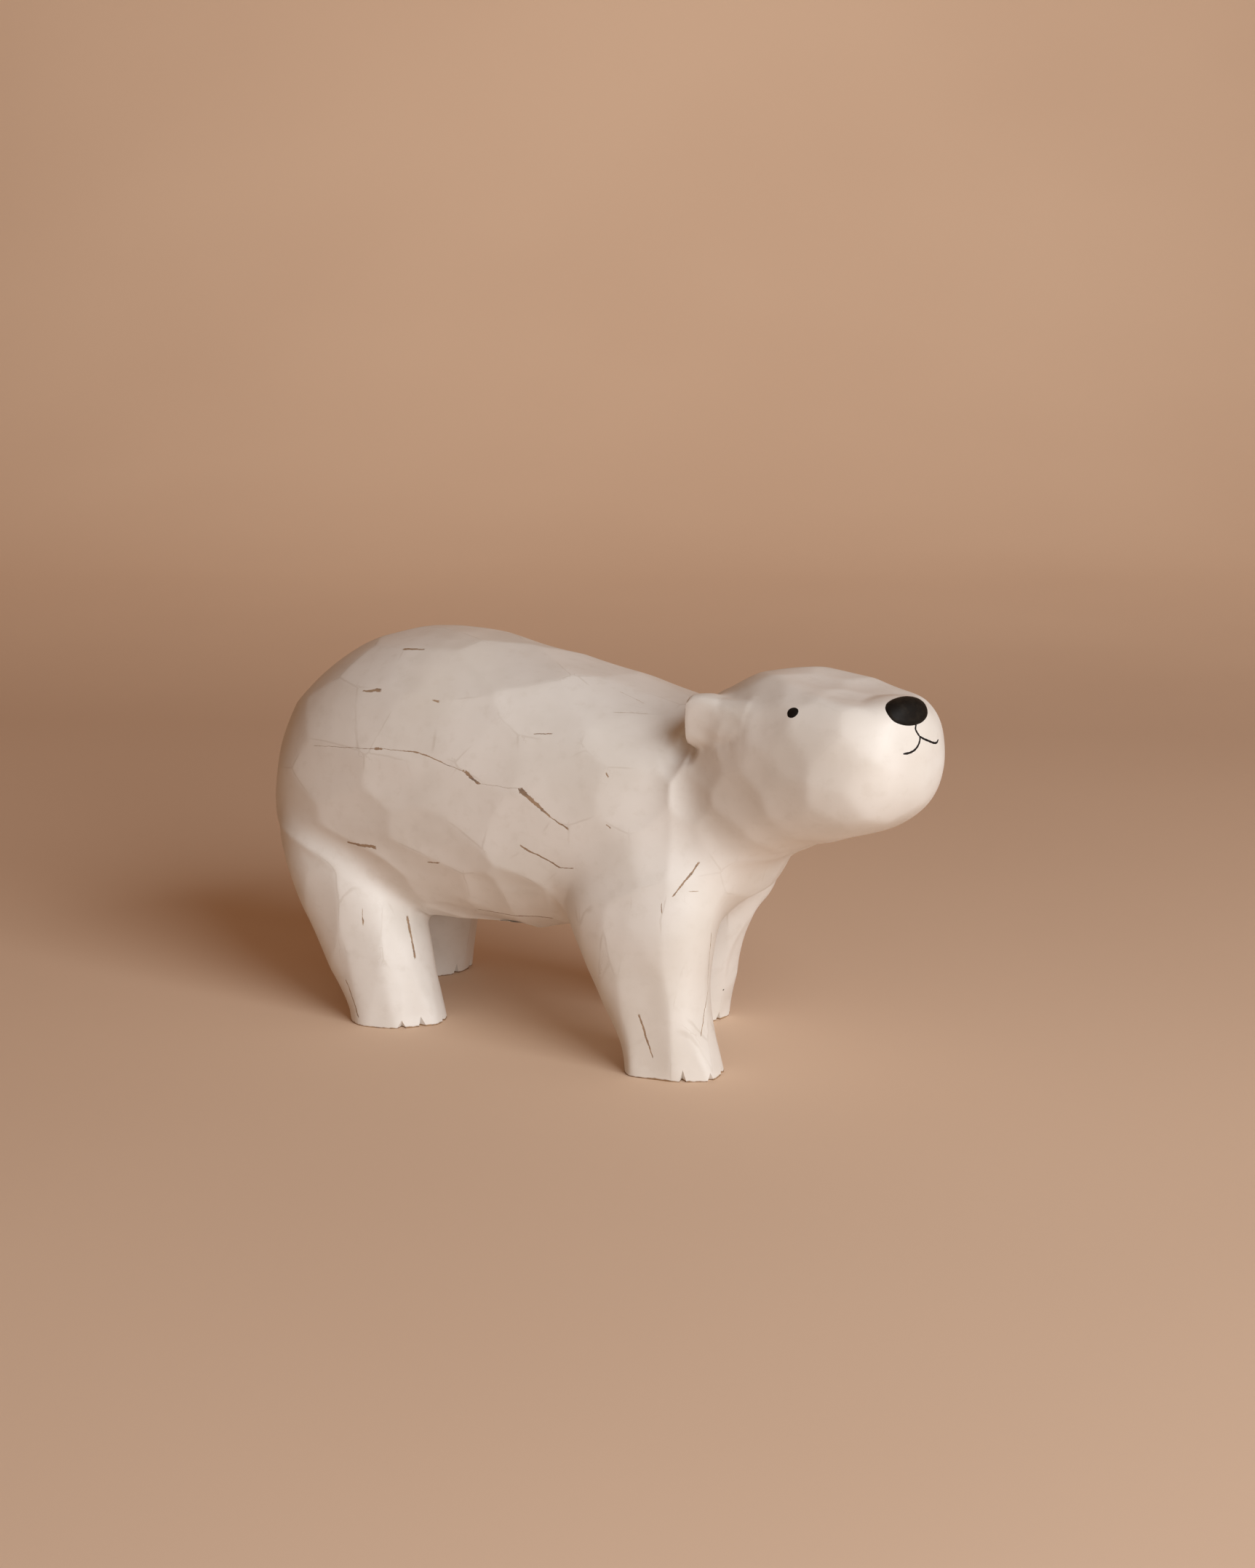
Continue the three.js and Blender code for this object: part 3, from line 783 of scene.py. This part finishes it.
def finish_piece(name, mesh):
    """Smooth shading as on the whole figure, bare flat cut faces, and the paint's layers."""
    mesh.materials.clear()
    mesh.materials.append(painted)
    mesh.materials.append(bare)
    points = coords(mesh) / MM
    normals, shade = np.zeros_like(points), []
    for polygon in mesh.polygons:
        corners, facing = list(polygon.vertices), np.array(polygon.normal)
        _, _, face, distance = figure_tree.find_nearest(Vector(polygon.center) / MM)
        found = figure_normals(face, points[corners])
        outside = distance < 0.02 and np.array(figure.polygons[face].normal) @ facing > 0.9
        polygon.material_index = 0 if outside else 1
        polygon.use_smooth = True
        normals[corners] += found if outside else 0
        shade.extend(found if outside else [facing] * len(corners))
    normals /= np.maximum(np.linalg.norm(normals, axis=1), 1e-9)[:, None]
    mesh.normals_split_custom_set([tuple(n) for n in shade])
    add_attribute(mesh, "ridge", "FLOAT_VECTOR", ridge_layer(points, normals))
    worn, near = worn_layer(points)
    add_attribute(mesh, "worn", "FLOAT_VECTOR", worn)
    add_attribute(mesh, "worn_near", "FLOAT", near)
    wooden = 1 - smoothstep(-8, 4, ahead_of_joint(points))
    add_attribute(mesh, "rub", "FLOAT", wooden * smoothstep(-8, 12, points[:, 1]))
    add_attribute(mesh, "hair", "FLOAT", 0.15 + 0.85 * wooden)
    obj = linked(mesh, name)
    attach(obj, "root")
    return obj


# ---------------------------------------------------------------- materials

def material(name):
    m = bpy.data.materials.new(name)
    m.use_nodes = True
    m.node_tree.nodes.clear()
    return m


class Graph:
    """Short names for building a node tree."""

    def __init__(self, mat):
        self.tree = mat.node_tree

    def add(self, kind, inputs=None, **settings):
        node = self.tree.nodes.new(kind)
        for key, value in settings.items():
            setattr(node, key, value)
        for key, value in (inputs or {}).items():
            if isinstance(value, bpy.types.NodeSocket):
                self.tree.links.new(value, node.inputs[key])
            else:
                node.inputs[key].default_value = value
        return node

    def math(self, operation, a, b=0.0, c=0.0, clamp=False):
        return self.add("ShaderNodeMath", {0: a, 1: b, 2: c}, operation=operation, use_clamp=clamp).outputs[0]

    def noise(self, place, scale, detail=2.0, rough=0.5, stretch=None):
        if stretch:
            place = self.add("ShaderNodeMapping", {"Vector": place, "Scale": stretch}).outputs[0]
        return self.add(
            "ShaderNodeTexNoise", {"Vector": place, "Scale": scale, "Detail": detail, "Roughness": rough},
        ).outputs["Fac"]

    def step(self, value, low, high):
        limits = {"Value": value, "From Min": low, "From Max": high}
        return self.add("ShaderNodeMapRange", limits, interpolation_type="SMOOTHSTEP").outputs[0]

    def mix(self, share, a, b):
        node = self.add("ShaderNodeMix", data_type="RGBA")
        for socket, value in ((node.inputs[0], share), (node.inputs[6], a), (node.inputs[7], b)):
            if isinstance(value, bpy.types.NodeSocket):
                self.tree.links.new(value, socket)
            else:
                socket.default_value = value
        return node.outputs[2]

    def place(self):
        return self.add("ShaderNodeTexCoord").outputs["Object"]

    def finish(self, colour, roughness, height=None, strength=0.3, distance=0.0002, **fixed):
        shader = self.add("ShaderNodeBsdfPrincipled", {"Base Color": colour, "Roughness": roughness, **fixed})
        if height is not None:
            bump = self.add("ShaderNodeBump", {"Height": height, "Strength": strength, "Distance": distance})
            self.tree.links.new(bump.outputs[0], shader.inputs["Normal"])
        out = self.add("ShaderNodeOutputMaterial")
        self.tree.links.new(shader.outputs[0], out.inputs[0])


def wood_colour(g, place):
    """Brown close-grained wood."""
    grain = g.noise(place, 700.0, 4.0, 0.6, stretch=(0.08, 1.0, 1.0))
    bands = g.noise(place, 160.0, 2.0, 0.5, stretch=(0.15, 1.0, 1.0))
    light = g.mix(g.step(bands, 0.35, 0.65), (0.37, 0.235, 0.125, 1), (0.27, 0.155, 0.075, 1))
    return g.mix(g.step(grain, 0.5, 0.72), light, (0.12, 0.065, 0.032, 1))


def bare_wood():
    m = material("bare_wood_grain")
    g = Graph(m)
    place = g.place()
    grain = g.noise(place, 700.0, 4.0, 0.6, stretch=(0.08, 1.0, 1.0))
    g.finish(wood_colour(g, place), 0.72, height=grain, strength=0.5)
    return m


def painted_wood():
    m = material("worn_white_paint")
    g = Graph(m)
    place = g.place()

    # paint: chalky white, a little thin and grey in patches, with brush marks
    patches = g.step(g.noise(place, 38.0, 3.0, 0.55), 0.38, 0.68)
    fine = g.noise(place, 260.0, 3.0, 0.6)
    brush = g.noise(place, 420.0, 3.0, 0.6, stretch=(0.16, 0.5, 1.0))
    white = g.mix(patches, (0.82, 0.80, 0.77, 1), (0.755, 0.73, 0.69, 1))
    white = g.mix(g.math("MULTIPLY", g.step(fine, 0.5, 0.75), 0.16), white, (0.58, 0.53, 0.46, 1))
    warm = g.step(g.noise(place, 17.0, 2.0, 0.5), 0.48, 0.72)
    white = g.mix(g.math("MULTIPLY", warm, 0.3), white, (0.78, 0.72, 0.64, 1))

    # worn lines at listed places
    worn = g.add("ShaderNodeAttribute", attribute_name="worn").outputs["Vector"]
    across, past, half = g.add("ShaderNodeSeparateXYZ", {0: worn}).outputs
    near = g.add("ShaderNodeAttribute", attribute_name="worn_near").outputs["Fac"]
    ragged = g.noise(place, 1500.0, 3.0, 0.7)
    swing = g.math("MULTIPLY_ADD", g.noise(place, 330.0, 2.0, 0.5), 1.2, -0.6)
    from_middle = g.math("ABSOLUTE", g.math("ADD", across, g.math("MULTIPLY", swing, 0.7)))
    breaks = g.math("MULTIPLY_ADD", g.noise(place, 620.0, 2.0, 0.6), 1.5, 0.25)
    breaks = g.math("MULTIPLY", breaks, g.math("MULTIPLY_ADD", ragged, 1.3, 0.35))
    width = g.math("MULTIPLY", half, breaks)
    inside = g.math("SUBTRACT", width, from_middle)
    lines = g.step(inside, -0.05, 0.09)
    ends = g.step(g.math("ADD", past, g.math("MULTIPLY", ragged, 1.2)), 0.9, 0.2)
    lines = g.math("MULTIPLY", g.math("MULTIPLY", lines, ends), g.step(near, 0.98, 1.0))

    # ridges between knife cuts: a faint line, here and there rubbed through to the wood
    ridge = g.add("ShaderNodeAttribute", attribute_name="ridge").outputs["Vector"]
    over, corner, by = g.add("ShaderNodeSeparateXYZ", {0: ridge}).outputs
    off_ridge = g.math("ABSOLUTE", g.math("ADD", over, g.math("MULTIPLY", swing, 0.5)))
    on_ridge = g.step(by, 0.98, 1.0)
    rubbed = g.step(g.noise(place, 24.0, 2.0, 0.6), 0.60, 0.70)
    thin = g.step(g.noise(place, 60.0, 2.0, 0.5), 0.50, 0.64)
    wide = g.math("MULTIPLY_ADD", g.step(corner, 2.2, 0.2), 0.45, 0.22)
    bare_ridge = g.step(g.math("SUBTRACT", g.math("MULTIPLY", wide, breaks), off_ridge), -0.04, 0.08)
    rub = g.add("ShaderNodeAttribute", attribute_name="rub").outputs["Fac"]
    bare_ridge = g.math("MULTIPLY", g.math("MULTIPLY", bare_ridge, rubbed), g.math("MULTIPLY", on_ridge, rub))
    hair = g.step(off_ridge, 0.42, 0.05)
    hair = g.math("MULTIPLY", g.math("MULTIPLY", hair, on_ridge), g.math("MULTIPLY", thin, 0.22))
    hair = g.math("MULTIPLY", hair, g.add("ShaderNodeAttribute", attribute_name="hair").outputs["Fac"])

    # the bottom rim of the feet is painted brown: rubbed-bare wood, and also a painted contact shadow where the
    # feet meet the floor
    height = g.add("ShaderNodeSeparateXYZ", {0: place}).outputs[2]
    uneven = g.math("MULTIPLY", g.noise(place, 300.0, 3.0, 0.6), 0.0011)
    rim = g.step(g.math("ADD", height, uneven), 0.0011, 0.0007)

    # dust specks
    cells = g.add("ShaderNodeTexVoronoi", {"Vector": place, "Scale": 95.0, "Randomness": 1.0})
    chosen = g.step(g.add("ShaderNodeSeparateXYZ", {0: cells.outputs["Color"]}).outputs[0], 0.90, 0.91)
    speck = g.math("MULTIPLY", g.step(cells.outputs["Distance"], 0.034, 0.020), chosen)

    # bare wood from the worn lines and ridges, and the brown foot rim, which is also a painted contact shadow
    bare_wood_and_contact_shade = g.math("MAXIMUM", g.math("MULTIPLY", lines, 0.88), g.math("MULTIPLY", bare_ridge, 0.8))
    bare_wood_and_contact_shade = g.math("MAXIMUM", bare_wood_and_contact_shade, rim)
    colour = g.mix(hair, white, (0.40, 0.33, 0.25, 1))
    colour = g.mix(bare_wood_and_contact_shade, colour, wood_colour(g, place))
    colour = g.mix(speck, colour, (0.03, 0.022, 0.018, 1))
    gloss = g.math("MULTIPLY_ADD", g.noise(place, 90.0, 3.0, 0.6), 0.16, 0.36)
    gloss = g.math("ADD", gloss, g.math("MULTIPLY", bare_wood_and_contact_shade, 0.3))
    waves = g.math("MULTIPLY", g.noise(place, 120.0, 3.0, 0.5), 0.9)
    relief = g.math("ADD", g.math("MULTIPLY", brush, 0.5), waves)
    relief = g.math("SUBTRACT", relief, g.math("MULTIPLY", bare_wood_and_contact_shade, 0.55))
    g.finish(colour, gloss, height=relief, strength=0.35, distance=0.00022, **{"Specular IOR Level": 0.45})
    return m


def black_paint(name, colour, light):
    m = material(name)
    g = Graph(m)
    place = g.place()
    spots = g.noise(place, 500.0, 3.0, 0.6)
    shade = g.mix(g.step(spots, 0.45, 0.75), colour, light)
    rough = g.math("MULTIPLY_ADD", g.noise(place, 900.0, 2.0, 0.6), 0.2, 0.5)
    g.finish(shade, rough, height=spots, strength=0.35, distance=0.00012, **{"Specular IOR Level": 0.18})
    return m


painted = painted_wood()
bare = bare_wood()
black = black_paint("black_paint", (0.007, 0.0055, 0.0045, 1), (0.015, 0.012, 0.009, 1))
ink = black_paint("black_ink", (0.010, 0.008, 0.008, 1), (0.022, 0.018, 0.016, 1))

for name, mesh in parted().items():
    piece = finish_piece("carved_" + name, mesh)
    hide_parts(name)

for name, node in nodes.items():
    if "dowel" in name or "peg" in name:
        for slot in node.material_slots:
            slot.material = bare


# ---------------------------------------------------------------- nose, eyes and mouth

def on_figure(point, toward):
    place, normal, _, _ = figure_tree.ray_cast(Vector(point), Vector(toward))
    return np.array(place), np.array(normal)


def ring_faces(rings, around, first=0):
    return [
        (first + r * around + i, first + r * around + (i + 1) % around,
         first + (r + 1) * around + (i + 1) % around, first + (r + 1) * around + i)
        for r in range(rings - 1) for i in range(around)
    ]


def dome_faces(rings, around):
    """Faces of a closed pad: rings and a tip on top, then the same again underneath."""
    first = rings * around + 1
    last = first + (rings - 1) * around
    faces = ring_faces(rings, around)
    inner = (rings - 1) * around
    faces += [(inner + i, inner + (i + 1) % around, first - 1) for i in range(around)]
    faces += [tuple(reversed(f)) for f in ring_faces(rings, around, first)]
    faces += [(last + (i + 1) % around, last + i, last + around) for i in range(around)]
    faces += [(first + i, first + (i + 1) % around, (i + 1) % around, i) for i in range(around)]
    return faces


def make_eye(side):
    """A dot of thick paint: a low dome that follows the skin, closed underneath."""
    slope = math.radians(EYE["slope"])
    out = turn_z(np.array([0, side * math.cos(slope), math.sin(slope)]), -HEAD_TURN)
    centre = from_head([EYE["x"], side * EYE["y"], EYE["z"]])
    ahead = turn_z(np.array([1.0, 0, 0]), -HEAD_TURN)
    up = np.cross(out, ahead) * -side
    ahead = ahead * math.cos(EYE["roll"]) + up * math.sin(EYE["roll"])
    up = np.cross(out, ahead) * -side
    around, rings = 36, 7
    top, low = [], []
    for r in range(rings):
        share = 1 - r / rings
        for i in range(around):
            a = 2 * math.pi * i / around
            wobble = 1 + 0.03 * math.sin(2 * a + side) + 0.02 * math.sin(3 * a + 1)
            p = centre + ahead * EYE["long"] * share * wobble * math.cos(a)
            p = p + up * EYE["tall"] * share * wobble * math.sin(a)
            place, _ = on_figure(p + out * 6, -out)
            lift = 0.02 + 0.16 * (1 - share ** 3)
            top.append(place + out * lift)
            low.append(place - out * 0.3)
    place, _ = on_figure(centre + out * 6, -out)
    verts = top + [place + out * 0.18] + low + [place - out * 0.3]
    return closed_mesh("eye", verts, dome_faces(rings, around), black)


def closed_mesh(name, verts, faces, mat):
    mesh = mesh_of(name, np.array(verts) * MM, faces)
    bm = bmesh.new()
    bm.from_mesh(mesh)
    bmesh.ops.recalc_face_normals(bm, faces=bm.faces[:])
    bm.to_mesh(mesh)
    bm.free()
    mesh.materials.append(mat)
    for polygon in mesh.polygons:
        polygon.use_smooth = True
    return mesh


def make_nose():
    """A thick black pad over the front of the muzzle, with a rolled edge, closed underneath."""
    centre = from_head(NOSE["centre"])
    out, left = turn_z(np.array([NOSE["faces"], (0, 1, 0)], float), -HEAD_TURN)
    up = np.cross(out, left)
    half = NOSE["outline"]
    outline = through(half + [(-y, w) for y, w in half[-2:0:-1]] + [half[0]], 5)[:-1]
    around = len(outline)
    shares = (1, 0.985, 0.95, 0.88, 0.76, 0.62, 0.46, 0.3, 0.14)
    lifts = (-0.25, 0.15, 0.42, 0.6, 0.66, 0.7, 0.72, 0.74, 0.75)
    top, low = [], []
    for share, lift in zip(shares, lifts):
        for y, w in outline:
            p = centre + (left * y + up * w) * share
            place, _ = on_figure(p + out * 9, -out)
            top.append(place + out * lift)
            low.append(place - out * 1.2)
    place, _ = on_figure(centre + out * 9, -out)
    verts = top + [place + out * 0.75] + low + [place - out * 1.2]
    return closed_mesh("nose", verts, dome_faces(len(shares), around), black)


def through(points, steps):
    """A smooth line through a few points."""
    p = np.array(points, float)
    p = np.concatenate([[2 * p[0] - p[1]], p, [2 * p[-1] - p[-2]]])
    line = []
    for k in range(1, len(p) - 2):
        a, b, c, d = p[k - 1:k + 3]
        square, cube = 2 * a - 5 * b + 4 * c - d, 3 * b - a - 3 * c + d
        line += [0.5 * (2 * b + (c - a) * t + square * t ** 2 + cube * t ** 3) for t in np.arange(0, 1, 1 / steps)]
    return np.array(line + [p[-2]])


def make_mouth():
    """Three strokes of ink, each a thin closed bead that lies on the muzzle."""
    verts, faces, around = [], [], 8
    ahead = turn_z(np.array([1.0, 0, 0]), -HEAD_TURN)
    for stroke in MOUTH:
        line = through(stroke, 10)
        placed = [on_figure(from_head([95, y, z]), -ahead) for y, z in line]
        points = np.array([p for p, _ in placed])
        along = np.gradient(points, axis=0)
        first = len(verts)
        for k, (p, n) in enumerate(placed):
            t = along[k] / np.linalg.norm(along[k])
            side = np.cross(n, t)
            from_end = min(k, len(placed) - 1 - k)
            half = MOUTH_WIDTH / 2 * (1 + 0.10 * math.sin(k * 0.9)) * min(1, 0.45 + 0.2 * from_end)
            for i in range(around):
                a = 2 * math.pi * i / around
                high = 0.02 + (0.07 if math.sin(a) > 0 else 0.2) * math.sin(a)
                verts.append(p + side * half * math.cos(a) + n * high)
        faces += ring_faces(len(placed), around, first)
        faces.append(tuple(first + i for i in range(around)))
        faces.append(tuple(reversed([len(verts) - around + i for i in range(around)])))
    return closed_mesh("mouth", verts, faces, ink)


for name, node, mesh, slot in (
    ("painted_nose", "nose", make_nose(), "black_painted_wood"),
    ("painted_eye_right", "eye_right", make_eye(-1), "black_painted_wood"),
    ("painted_eye_left", "eye_left", make_eye(1), "black_painted_wood"),
    ("drawn_mouth", "mouth_line", make_mouth(), "black_ink"),
):
    piece = linked(mesh, name)
    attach(piece, "root")
    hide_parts(node)


# ---------------------------------------------------------------- studio

CAMERA = {"place": (383.32, -648.2, 248.3), "tip": 77, "turn": 30, "lens": 60, "sensor": 36}  # angles in degrees


def backdrop():
    """Seamless paper: level under the bear, then curving up a long way behind it."""
    width, front, back_edge, bend, top = 24000, -9000, 900, 900, 6000
    turn = math.radians(CAMERA["turn"])
    profile = [(front, 0), (back_edge, 0)]
    for a in np.linspace(0.05, math.pi / 2, 24):
        profile.append((back_edge + bend * math.sin(a), bend - bend * math.cos(a)))
    profile.append((back_edge + bend, top))
    verts, faces = [], []
    for back, up in profile:
        for side in (-width / 2, width / 2):
            x = side * math.cos(turn) - back * math.sin(turn)
            y = side * math.sin(turn) + back * math.cos(turn)
            verts.append((x * MM, y * MM, up * MM))
    for k in range(len(profile) - 1):
        faces.append((2 * k, 2 * k + 1, 2 * k + 3, 2 * k + 2))
    mesh = mesh_of("paper", verts, faces)
    for polygon in mesh.polygons:
        polygon.use_smooth = True
    m = material("pale_paper")
    g = Graph(m)
    place = g.place()
    cloud = g.step(g.noise(place, 3.0, 2.0, 0.5), 0.3, 0.7)
    g.finish(g.mix(cloud, (0.80, 0.605, 0.45, 1), (0.77, 0.575, 0.425, 1)), 0.9)
    mesh.materials.append(m)
    return linked(mesh, "paper")


backdrop()


def lamp(name, place, aim, size, power, colour):
    light = bpy.data.lights.new(name, "AREA")
    light.shape, light.size, light.size_y = "RECTANGLE", size[0] * MM, size[1] * MM
    light.energy, light.color = power, colour
    obj = bpy.data.objects.new(name, light)
    bpy.context.scene.collection.objects.link(obj)
    obj.location = Vector(place) * MM
    obj.rotation_euler = (Vector(aim) - Vector(place)).to_track_quat("-Z", "Y").to_euler()


lamp("key", (1250, -555, 780), (0, 0, 50), (1000, 900), 17.0, (0.94, 0.965, 0.98))
lamp("low", (1150, -850, 300), (0, 0, 40), (900, 380), 4.4, (0.96, 0.97, 0.96))
lamp("wall", (-300, 700, 900), (-800, 1700, 500), (1200, 500), 3.6, (1.0, 0.95, 0.90))

world = bpy.data.worlds.new("studio")
world.use_nodes = True
world.node_tree.nodes["Background"].inputs[0].default_value = (1.0, 0.54, 0.27, 1)
world.node_tree.nodes["Background"].inputs[1].default_value = 0.20
bpy.context.scene.world = world
bpy.context.scene.view_settings.view_transform = "Standard"

camera = bpy.data.cameras.new("camera")
camera.lens, camera.sensor_width, camera.sensor_fit = CAMERA["lens"], CAMERA["sensor"], "AUTO"
camera_obj = bpy.data.objects.new("camera", camera)
bpy.context.scene.collection.objects.link(camera_obj)
camera_obj.location = Vector(CAMERA["place"]) * MM
camera_obj.rotation_euler = (math.radians(CAMERA["tip"]), 0, math.radians(CAMERA["turn"]))
bpy.context.scene.camera = camera_obj
